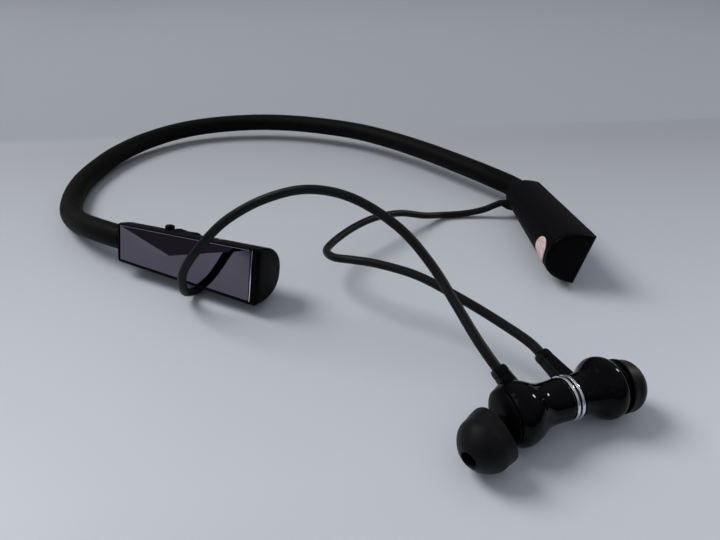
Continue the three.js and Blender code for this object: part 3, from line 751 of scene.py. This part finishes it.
def small_pod_parts(side):
    """Trim line, neck collar and the cord's gland."""
    run = (SHELL_LENGTH - 0.78, SHELL_LENGTH - 0.46)
    trim = block(f"{side}_trim_line", face_corners(run, PLATE_MARGIN + PLATE_PLAY, 0.1, RECESS - GAP))
    bevel(trim, 0.08, 2)
    place(trim, POD[side], "chrome", ARM[side], f"{side}_plate_trim")

    outer, inner = BAND_R + 0.8, BAND_R + 0.04
    profile = [(-1.8, inner), (-1.8, inner + 0.2)]
    profile += smooth([(-1.72, inner + 0.4), (-1.5, outer - 0.08), (-1.1, outer)], 4)
    profile += [(-0.55, outer), (-0.3, outer - 0.12), (-0.22, outer - 0.35), (-0.22, inner)]
    collar = turned(f"{side}_collar", profile, 72)
    collar.data.transform(Matrix.Translation((0, BAND_INSET, 0)))
    place(collar, POD[side], "black_plastic", ARM[side], f"{side}_neck_collar")

    depth = crown_at(GLAND_X, GLAND_Z)
    bore = CORD_R + 0.02
    inner_end, outer_end = depth - 2.6, depth + GLAND_LENGTH
    sleeve = [(inner_end, bore), (inner_end, GLAND_R), (depth + 0.3, GLAND_R)]
    sleeve += smooth([(depth + 0.55, GLAND_R - 0.04), (depth + 0.9, GLAND_R - 0.2), (depth + 1.4, 1.62),
                      (outer_end - 0.3, 1.42), (outer_end, CORD_R + 0.08)], 5)
    sleeve.append((outer_end, bore))
    gland = turned(f"{side}_gland", sleeve, 40)
    gland.data.transform(towards_cord(side, 0))
    place(gland, POD[side], "rubber", ARM[side], f"{side}_cord_gland")


def button():
    """The round-cornered button."""
    top = pod_width((BUTTON["x0"] + BUTTON["x1"]) / 2) / 2 + BUTTON["proud"]
    foot = pod_width(BUTTON["x0"]) / 2 - KEY_DEPTH
    half = BUTTON["width"] / 2
    cap = brick("button_cap", BUTTON["x0"], BUTTON["x1"], BUTTON["y"] - half, BUTTON["y"] + half, foot, top)
    bevel(cap, 0.85, 5, lambda a, b: max(a.z, b.z) > foot + 0.1)
    place(cap, POD["left"], "black_plastic", "multifunction_button", "multifunction_button", angle=50)


def rocker():
    """The volume rocker: dipped in the middle, with a raised pip towards each end."""
    length = ROCKER["x1"] - ROCKER["x0"]
    top = pod_width((ROCKER["x0"] + ROCKER["x1"]) / 2) / 2 + ROCKER["proud"]
    foot = pod_width(ROCKER["x0"]) / 2 - KEY_DEPTH
    half = ROCKER["width"] / 2
    steps, arch_steps, arch = 48, 8, 0.45
    rings = []
    for i in range(steps + 1):
        u = i / steps
        x = ROCKER["x0"] + length * u
        from_end = min(u, 1 - u) * length
        rounding = 0.5 * (1 - math.sqrt(1 - max(0, 1 - from_end / 0.6) ** 2))
        dip = 0.16 * math.exp(-((u - 0.5) / 0.14) ** 2)
        pip = 0.14 * (math.exp(-((u - 0.17) / 0.035) ** 2) + math.exp(-((u - 0.83) / 0.035) ** 2))
        height = top - 0.14 - dip + pip - rounding
        wide = half - rounding * 0.8
        ring = [Vector((x, ROCKER["y"] - wide, foot)), Vector((x, ROCKER["y"] + wide, foot))]
        for k in range(arch_steps + 1):
            turn = math.pi * k / arch_steps
            across = ROCKER["y"] + wide * math.cos(turn)
            ring.append(Vector((x, across, height - arch + arch * math.sin(turn) ** 0.6)))
        rings.append(ring)
    cap = make("rocker_cap", *skin(rings))
    place(cap, POD["left"], "black_plastic", "volume_rocker", "volume_rocker", angle=50)


def port():
    """The charging socket: a drawn steel shell and its tongue."""
    port_y = pod_depth(PORT_X)
    shell = slot_block("port_shell", 0.15, port_y - PORT_DEPTH + GAP, port_y - 0.1)
    bore = slot_block("port_bore", -0.25, port_y - PORT_DEPTH + 1, port_y + 1)
    carve(shell, bore)
    place(shell, POD["left"], "plated_steel", "arm_left", "charging_port")
    tongue = brick("port_tongue", PORT_X - 3, PORT_X + 3, port_y - PORT_DEPTH + 1.1, port_y - 1, -0.35, 0.35)
    bevel(tongue, 0.12, 2)
    place(tongue, POD["left"], "black_plastic", "arm_left", "charging_port_tongue")


def light_lens():
    """The status light's small domed rod."""
    top = pod_width(LIGHT_X) / 2 - 0.1
    profile = [(1.6, 0), (1.6, 0.6), (top - 0.15, 0.6)]
    profile += smooth([(top - 0.1, 0.58), (top, 0.4), (top + 0.04, 0)], 4)
    lens = turned("light_lens", profile, 28)
    lens.data.transform(upwards(LIGHT_X, 0))
    place(lens, POD["left"], "light_pipe", "arm_left", "status_light_pipe")


def label():
    """A round paper label that follows the crown, with a slightly lifted, rounded edge."""
    centre_x, centre_z, radius = 47.0, 2.0, 4.1
    sides, rings = 48, 7

    def ring(r, lift):
        points = []
        for i in range(sides):
            turn = 2 * math.pi * i / sides
            x, z = centre_x + r * math.cos(turn), centre_z + r * math.sin(turn)
            points.append(Vector((x, crown_at(x, z) + lift, z)))
        return points

    radii = [radius * i / rings for i in range(1, rings + 1)]
    underside = [ring(r, 0.03) for r in radii]
    edge = [ring(radius + 0.03, 0.09), ring(radius - 0.03, 0.14)]
    top = [ring(r, 0.15) for r in reversed(radii[:-1])]
    sheet = make("paper_label", *skin(underside + edge + top))
    place(sheet, POD["right"], "paper", "arm_right", "blank_label", angle=50)


for side in ("left", "right"):
    pod_shell(side)
    face_plate(side)
    end_cap(side)
    small_pod_parts(side)
button()
rocker()
port()
light_lens()
label()


# ---------- earbuds ----------
NOZZLE = {
    "left": {"forward": 23.5, "down": -3, "reach": 0.0},
    "right": {"forward": 6, "down": 8, "reach": -4.9},
}


def tilted(obj, side):
    """Moves a shape made along +x from the bulb's centre to the nozzle's tilted line."""
    spec = NOZZLE[side]
    turn = Matrix.Rotation(math.radians(-spec["forward"]), 4, "Z")
    turn = turn @ Matrix.Rotation(math.radians(spec["down"]), 4, "Y")
    shift = Matrix.Translation((BULB_X[side], -BULB_SHIFT, 0))
    obj.data.transform(shift @ turn @ Matrix.Translation((spec["reach"], 0, 0)))
    return obj


def housing_profile(bulb):
    """The outline from the ring, along the waist and over the bulb."""
    swell = BULB_R - WAIST_R
    return [
        (1.5, WAIST_R), (bulb * 0.3, WAIST_R - 0.1), (bulb * 0.5, WAIST_R + 0.12),
        (bulb * 0.64, WAIST_R + swell * 0.35), (bulb * 0.76, WAIST_R + swell * 0.7),
        (bulb * 0.88, WAIST_R + swell * 0.94), (bulb, BULB_R), (bulb + 1.2, BULB_R - 0.25),
        (bulb + 2.2, BULB_R - 0.9),
    ]


def shifted(obj, bulb):
    """Leans the bulb slightly forward of the waist's axis."""
    for vertex in obj.data.vertices:
        share = min(max((vertex.co.x - 2) / (bulb - 2), 0), 1)
        vertex.co.y -= BULB_SHIFT * share ** 1.5
    return obj


def stem(side):
    """A chamfered block that tapers to the cord, with a shallow step before its end."""
    length = STEM[side]["length"]

    def section(y, grow=0.0):
        share = (y - 3.2) / (length - 3.8)
        return (y, 2.1 - 0.45 * share + grow, 1.95 - 0.35 * share + grow, 0.5)

    groove = length - 1.9
    sections = [section(3.4), section(groove - 0.12), section(groove - 0.04, -0.07),
                section(groove + 0.04, -0.07), section(groove + 0.12, 0.06), section(length - 0.6, 0.06),
                section(length - 0.2, -0.08), (length, 1.42, 1.38, 0.45)]
    rings = []
    for y, half_x, half_z, chamfer in sections:
        corners = []
        for sx, sz, first in ((1, 1, "z"), (-1, 1, "x"), (-1, -1, "z"), (1, -1, "x")):
            on_x = Vector((sx * half_x, y, sz * (half_z - chamfer)))
            on_z = Vector((sx * (half_x - chamfer), y, sz * half_z))
            corners += [on_x, on_z] if first == "z" else [on_z, on_x]
        rings.append(corners)
    body = make(f"{side}_stem", *skin(rings))
    bevel(body, 0.12, 2, lambda a, b: abs(a.y - b.y) > 0.15)
    body.data.transform(stem_matrix(side))
    place(body, BUD[side], "gloss_black", f"{side}_earbud", f"{side}_strain_relief", angle=24)


SKIRT_WAVE = {"left": (1.7, 0.6), "right": (0.3, 0.2)}  # how far the soft skirt's two lobes reach back


def tip_shape(side):
    """A thin flared skirt that runs into a round dome, with an inner sleeve. The soft edge waves."""
    base, stretch, dome = 8.8, TIP_DOME[side], TIP_R - 0.25
    outside = smooth([(0.06, TIP_R - 0.03), (0.5, TIP_R - 0.06), (1.6, dome), (3.2, dome - 0.15),
                      (4.7, dome - 0.95), (6.1, dome - 2.3), (6.9, dome - 3.6), (7.17, dome - 4.15),
                      (7.05, 1.85), (6.4, 1.75)], 5)
    bore = [(5.9, 1.75), (5.9, 2.75), (1.4, 2.75)]
    inside = [(1.3, 3.1), (1.4, 3.5)] + smooth(
        [(5, 3.5), (4.4, 4.1), (3.4, 4.85), (2.2, 5.3), (1.2, TIP_R - 0.85), (0.1, TIP_R - 0.48)], 5)
    profile = outside + bore + inside + [(0, TIP_R - 0.35), (0, TIP_R - 0.12)]
    tip = turned(f"{side}_tip_dome", [(base + p[0] * stretch, p[1]) for p in profile], 96)
    skirt, lobe_turn = 3.4, 0.82
    for vertex in tip.data.vertices:
        share = max(0, 1 - (vertex.co.x - base) / skirt) ** 2
        lobe = math.cos(math.atan2(vertex.co.z, vertex.co.y) + lobe_turn)
        vertex.co.x -= SKIRT_WAVE[side][lobe < 0] * share * lobe * lobe
    return tip


def ring_and_magnet(side):
    """The square-shouldered chrome bead and the magnet's face inside it."""
    body, sides, power = f"{side}_earbud", 24, 0.7
    middle = RING_R - 0.35
    bead = []
    for i in range(sides):
        turn = 2 * math.pi * i / sides
        along, out = (math.copysign(abs(v) ** power, v) for v in (math.cos(turn), math.sin(turn)))
        bead.append((0.65 + 0.38 * along, middle + 0.36 * out))
    place(turned(f"{side}_ring", bead, 96), BUD[side], "chrome", body, f"{side}_chrome_ring", angle=50)

    face = WAIST_R - 1.3
    disc = [(3, 0), (3, face), (0.45, face), (0.2, face - 0.25), (0.2, 1.2), (0.3, 1.1), (0.3, 0)]
    place(turned(f"{side}_magnet_disc", disc, 72), BUD[side], "plated_steel", body, f"{side}_magnet")


def housing_and_cover(side):
    """The waisted housing and the domed cover that closes its bulb."""
    body, bulb, wall = f"{side}_earbud", BULB_X[side], 0.9
    outline = housing_profile(bulb)
    outside = [(1.15, WAIST_R - 0.55), (1.2, WAIST_R - 0.25), (1.35, WAIST_R - 0.05)] + smooth(outline, 6)
    lip = outline[-1]
    outside += [(lip[0] + 0.12, lip[1] - 0.12), (lip[0] + 0.16, lip[1] - 0.35)]
    inside = [(p[0], p[1] - wall) for p in reversed(outline)]
    shell = shifted(turned(f"{side}_housing_body", outside + inside, 96), bulb)
    place(shell, BUD[side], "gloss_black", body, f"{side}_earbud_housing", angle=40)

    rim = bulb + 2.5
    dome = [(rim, 0), (rim, BULB_R - 1.25)] + smooth(
        [(rim + 0.12, BULB_R - 1.05), (rim + 0.5, BULB_R - 1.25), (rim + 1.0, BULB_R - 2.1),
         (rim + 1.5, 4.0), (rim + 1.7, 2.4), (rim + 1.75, 0)], 6)
    cover = turned(f"{side}_cover", dome, 72)
    cover.data.transform(Matrix.Translation((0, -BULB_SHIFT, 0)))
    carve(cover, tilted(rod("nozzle_hole", -4, 14, 2.3), side))
    place(cover, BUD[side], "black_plastic", body, f"{side}_front_cover", angle=40)


def nozzle_and_tip(side):
    """The barbed nozzle, the sound screen in its mouth and the ear tip pushed on to it."""
    body, matrix = f"{side}_earbud", BUD[side]
    root = 3.4 - NOZZLE[side]["reach"]
    end = 8.3 + 5.9 * TIP_DOME[side]
    spout = [(root, 1.6), (root, 2.2), (end - 1.2, 2.2), (end - 1.05, 2.25), (end - 0.85, 2.4),
             (end - 0.4, 2.4), (end - 0.15, 2.28), (end, 2.05), (end, 1.7), (end - 0.1, 1.6)]
    place(tilted(turned(f"{side}_spout", spout, 48), side), matrix, "black_plastic", body, f"{side}_nozzle")
    screen = [(end - 0.8, 0), (end - 0.8, 1.6), (end - 0.58, 1.6), (end - 0.42, 1.2), (end - 0.35, 0.6),
              (end - 0.33, 0)]
    mesh = tilted(turned(f"{side}_sound_screen", screen, 40), side)
    place(mesh, matrix, "grille", body, f"{side}_nozzle_mesh")
    place(tilted(tip_shape(side), side), matrix, "ear_rubber", f"{side}_tip", f"{side}_ear_tip", angle=40)


for side in ("left", "right"):
    ring_and_magnet(side)
    housing_and_cover(side)
    nozzle_and_tip(side)
    stem(side)


# ---------- inner parts that keep their CAD shape ----------
KEPT = {
    "left_wire_clamp": "plated_steel", "right_wire_clamp": "plated_steel", "main_board": "circuit_board",
    "key_switch_strip": "foil", "bluetooth_module": "foil", "battery_cell": "foil",
    "vibration_motor": "plated_steel", "left_driver": "foil", "right_driver": "foil",
}
for node, slot in KEPT.items():
    for material_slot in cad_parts[node].material_slots:
        material_slot.material = MATERIALS[slot]


# ---------- stage ----------
FAR_EDGE_POINT = (0.0597, 0.1038)  # the pale table's far edge, where the plane takes a greyer tone
FAR_EDGE_TURN = -9.2
FLOOR_REACH = 3.0
LIGHT_CENTRE = Vector((0, -0.02, 0))
LIGHT_FROM = (-0.735, 0.58, 1.05)


def stage_material():
    """Pale painted table, with painted shade that dims it towards its back edge; greyer beyond that edge,
    with painted shade that darkens the grey towards the left.
    """
    made = bpy.data.materials.new("stage")
    made.use_nodes = True
    tree = made.node_tree
    shader = tree.nodes["Principled BSDF"]
    shader.inputs["Roughness"].default_value = 0.5
    shader.inputs["Specular IOR Level"].default_value = 0.25
    coords = tree.nodes.new("ShaderNodeTexCoord")
    split = tree.nodes.new("ShaderNodeSeparateXYZ")
    tree.links.new(coords.outputs["Object"], split.inputs["Vector"])
    clouds = noise(tree, coords, 6, 3.0)
    patches = remap(tree, clouds.outputs["Fac"], 0.3, 0.7, 0, 1)
    near = blend_colour(tree, patches, (0.72, 0.755, 0.82), (0.78, 0.815, 0.88))
    # painted shade: the table's colour darkens towards its back edge, in place of the lamp's falloff
    far_painted_shade = remap(tree, split.outputs["Y"], -0.22, -0.02, 0, 1)
    table = blend_colour(tree, far_painted_shade, near, (0.45, 0.465, 0.495))
    # painted shade: beyond the edge, the grey is darker towards the left
    along = remap(tree, split.outputs["X"], -0.3, 0.35, 0, 1)
    past_with_painted_shade = blend_colour(tree, along, (0.36, 0.375, 0.41), (0.54, 0.565, 0.61))
    beyond = remap(tree, split.outputs["Y"], -0.002, 0.004, 0, 1)
    tree.links.new(blend_colour(tree, beyond, table, past_with_painted_shade), shader.inputs["Base Color"])
    return made


floor_mesh = bpy.data.meshes.new("floor")
floor_corners = [(x * FLOOR_REACH, y * FLOOR_REACH, 0) for x, y in ((-1, -1), (1, -1), (1, 1), (-1, 1))]
floor_mesh.from_pydata(floor_corners, [], [(0, 1, 2, 3)])
floor = bpy.data.objects.new("floor", floor_mesh)
floor.location = (*FAR_EDGE_POINT, 0)
floor.rotation_euler = (0, 0, math.radians(FAR_EDGE_TURN))
scene.collection.objects.link(floor)
floor_mesh.materials.append(stage_material())


def area_light(name, direction, distance, size, energy, colour, in_gloss):
    """A round soft light that either shows in glossy surfaces or lights the rest, not both."""
    direction = Vector(direction).normalized()
    data = bpy.data.lights.new(name, "AREA")
    data.shape = "DISK"
    data.size = size
    data.energy = energy
    data.color = colour
    lamp = bpy.data.objects.new(name, data)
    lamp.location = LIGHT_CENTRE + direction * distance
    lamp.rotation_euler = direction.to_track_quat("Z", "Y").to_euler()
    lamp.visible_glossy = in_gloss
    lamp.visible_diffuse = not in_gloss
    scene.collection.objects.link(lamp)


area_light("key", LIGHT_FROM, 1.2, 0.62, 8.2, (1.0, 0.99, 0.97), in_gloss=False)
area_light("key_gloss", LIGHT_FROM, 1.2, 0.24, 4.0, (1.0, 0.97, 0.93), in_gloss=True)
area_light("spark", (1, 0.15, 0.55), 0.8, 0.11, 1.3, (1.0, 0.9, 0.8), in_gloss=True)
area_light("left_gloss", (-1, 0.05, 0.75), 1.0, 0.6, 0.9, (0.95, 0.98, 1.0), in_gloss=True)

world = bpy.data.worlds.new("world")
world.use_nodes = True
scene.world = world
tree = world.node_tree
background = tree.nodes["Background"]
direction = tree.nodes.new("ShaderNodeTexCoord")
split = tree.nodes.new("ShaderNodeSeparateXYZ")
tree.links.new(direction.outputs["Generated"], split.inputs["Vector"])
lift = remap(tree, split.outputs["Z"], 0.12, 0.7, 0, 1)
sky = blend_colour(tree, lift, (0.13, 0.125, 0.14), (0.6, 0.63, 0.68))
tree.links.new(sky, background.inputs["Color"])
background.inputs["Strength"].default_value = 0.58
